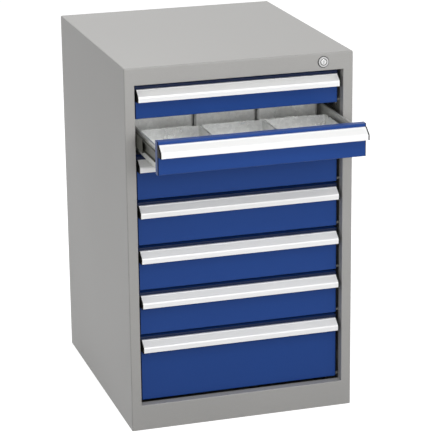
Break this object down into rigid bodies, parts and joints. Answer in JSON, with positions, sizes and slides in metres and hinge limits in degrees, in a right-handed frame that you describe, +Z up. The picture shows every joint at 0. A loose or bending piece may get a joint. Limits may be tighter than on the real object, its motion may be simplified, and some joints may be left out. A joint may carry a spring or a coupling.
{
  "type": "drawer cabinet",
  "caption": "Upright steel drawer cabinet on telescopic slides, with recessed fronts, full-width grips with label strips, a central lock and metal insert boxes.",
  "frame": {"origin": "middle of the underside, where the cabinet stands", "axes": "+Z up, the drawers pull out towards -Y, +X to the right of someone in front"},
  "size_m": [0.5, 0.74, 0.8],
  "materials": {
    "grey_paint": "fine textured powder coat",
    "blue_paint": "smooth satin powder coat",
    "aluminium": "clear anodised extrusion",
    "zinc_steel": "zinc plated sheet",
    "chrome": "polished",
    "black_plastic": "moulded, fine grain",
    "label_paper": "blank card behind clear film"
  },
  "bodies": {
    "housing": {"housing_shell": "grey_paint", "rear_panel": "grey_paint", "base_panel": "grey_paint", "left_uprights": "zinc_steel", "right_uprights": "zinc_steel", "left_runners": "zinc_steel", "right_runners": "zinc_steel", "lock_barrel": "chrome"},
    "lock_cylinder": {"lock_plug": "chrome", "lock_cam": "zinc_steel"},
    "lock_bar": {"lock_bar": "zinc_steel", "lock_fingers": "zinc_steel"},
    "drawer_1": {"drawer_1_tray": "zinc_steel", "drawer_1_front": "blue_paint", "drawer_1_handle": "aluminium", "drawer_1_end_caps": "black_plastic", "drawer_1_label": "label_paper"},
    "slides_1": {"drawer_1_slides": "zinc_steel"},
    "drawer_2": {"drawer_2_tray": "zinc_steel", "drawer_2_front": "blue_paint", "drawer_2_handle": "aluminium", "drawer_2_end_caps": "black_plastic", "drawer_2_label": "label_paper", "insert_boxes_front": "zinc_steel", "insert_boxes_middle": "zinc_steel", "insert_boxes_rear": "zinc_steel"},
    "slides_2": {"drawer_2_slides": "zinc_steel"},
    "drawer_3": {"drawer_3_tray": "zinc_steel", "drawer_3_front": "blue_paint", "drawer_3_handle": "aluminium", "drawer_3_end_caps": "black_plastic", "drawer_3_label": "label_paper"},
    "slides_3": {"drawer_3_slides": "zinc_steel"},
    "drawer_4": {"drawer_4_tray": "zinc_steel", "drawer_4_front": "blue_paint", "drawer_4_handle": "aluminium", "drawer_4_end_caps": "black_plastic", "drawer_4_label": "label_paper"},
    "slides_4": {"drawer_4_slides": "zinc_steel"},
    "drawer_5": {"drawer_5_tray": "zinc_steel", "drawer_5_front": "blue_paint", "drawer_5_handle": "aluminium", "drawer_5_end_caps": "black_plastic", "drawer_5_label": "label_paper"},
    "slides_5": {"drawer_5_slides": "zinc_steel"},
    "drawer_6": {"drawer_6_tray": "zinc_steel", "drawer_6_front": "blue_paint", "drawer_6_handle": "aluminium", "drawer_6_end_caps": "black_plastic", "drawer_6_label": "label_paper"},
    "slides_6": {"drawer_6_slides": "zinc_steel"},
    "drawer_7": {"drawer_7_tray": "zinc_steel", "drawer_7_front": "blue_paint", "drawer_7_handle": "aluminium", "drawer_7_end_caps": "black_plastic", "drawer_7_label": "label_paper"},
    "slides_7": {"drawer_7_slides": "zinc_steel"}
  },
  "joints": [
    {"name": "drawer_1_slide", "type": "slide", "parent": "housing", "child": "drawer_1", "axis": [0, -1, 0], "range_m": [0, 0.4]},
    {"name": "slides_1_extend", "type": "slide", "parent": "housing", "child": "slides_1", "axis": [0, -1, 0], "range_m": [0, 0.2]},
    {"name": "drawer_2_slide", "type": "slide", "parent": "housing", "child": "drawer_2", "axis": [0, -1, 0], "range_m": [-0.17, 0.23]},
    {"name": "slides_2_extend", "type": "slide", "parent": "housing", "child": "slides_2", "axis": [0, -1, 0], "range_m": [-0.085, 0.115]},
    {"name": "drawer_3_slide", "type": "slide", "parent": "housing", "child": "drawer_3", "axis": [0, -1, 0], "range_m": [0, 0.4]},
    {"name": "slides_3_extend", "type": "slide", "parent": "housing", "child": "slides_3", "axis": [0, -1, 0], "range_m": [0, 0.2]},
    {"name": "drawer_4_slide", "type": "slide", "parent": "housing", "child": "drawer_4", "axis": [0, -1, 0], "range_m": [0, 0.4]},
    {"name": "slides_4_extend", "type": "slide", "parent": "housing", "child": "slides_4", "axis": [0, -1, 0], "range_m": [0, 0.2]},
    {"name": "drawer_5_slide", "type": "slide", "parent": "housing", "child": "drawer_5", "axis": [0, -1, 0], "range_m": [0, 0.4]},
    {"name": "slides_5_extend", "type": "slide", "parent": "housing", "child": "slides_5", "axis": [0, -1, 0], "range_m": [0, 0.2]},
    {"name": "drawer_6_slide", "type": "slide", "parent": "housing", "child": "drawer_6", "axis": [0, -1, 0], "range_m": [0, 0.4]},
    {"name": "slides_6_extend", "type": "slide", "parent": "housing", "child": "slides_6", "axis": [0, -1, 0], "range_m": [0, 0.2]},
    {"name": "drawer_7_slide", "type": "slide", "parent": "housing", "child": "drawer_7", "axis": [0, -1, 0], "range_m": [0, 0.4]},
    {"name": "slides_7_extend", "type": "slide", "parent": "housing", "child": "slides_7", "axis": [0, -1, 0], "range_m": [0, 0.2]},
    {"name": "lock_turn", "type": "hinge", "parent": "housing", "child": "lock_cylinder", "pos_m": [0.183, -0.285, 0.781], "axis": [0, -1, 0], "range_deg": [0, 90]},
    {"name": "lock_bar_lift", "type": "slide", "parent": "housing", "child": "lock_bar", "axis": [0, 0, 1], "range_m": [0, 0.007]}
  ],
  "couplings": [
    {"joint": "slides_1_extend", "follows": "drawer_1_slide", "ratio": 0.5},
    {"joint": "slides_2_extend", "follows": "drawer_2_slide", "ratio": 0.5},
    {"joint": "slides_3_extend", "follows": "drawer_3_slide", "ratio": 0.5},
    {"joint": "slides_4_extend", "follows": "drawer_4_slide", "ratio": 0.5},
    {"joint": "slides_5_extend", "follows": "drawer_5_slide", "ratio": 0.5},
    {"joint": "slides_6_extend", "follows": "drawer_6_slide", "ratio": 0.5},
    {"joint": "slides_7_extend", "follows": "drawer_7_slide", "ratio": 0.5},
    {"joint": "lock_turn", "follows": "lock_bar_lift", "rad_per_m": 224.4}
  ]
}
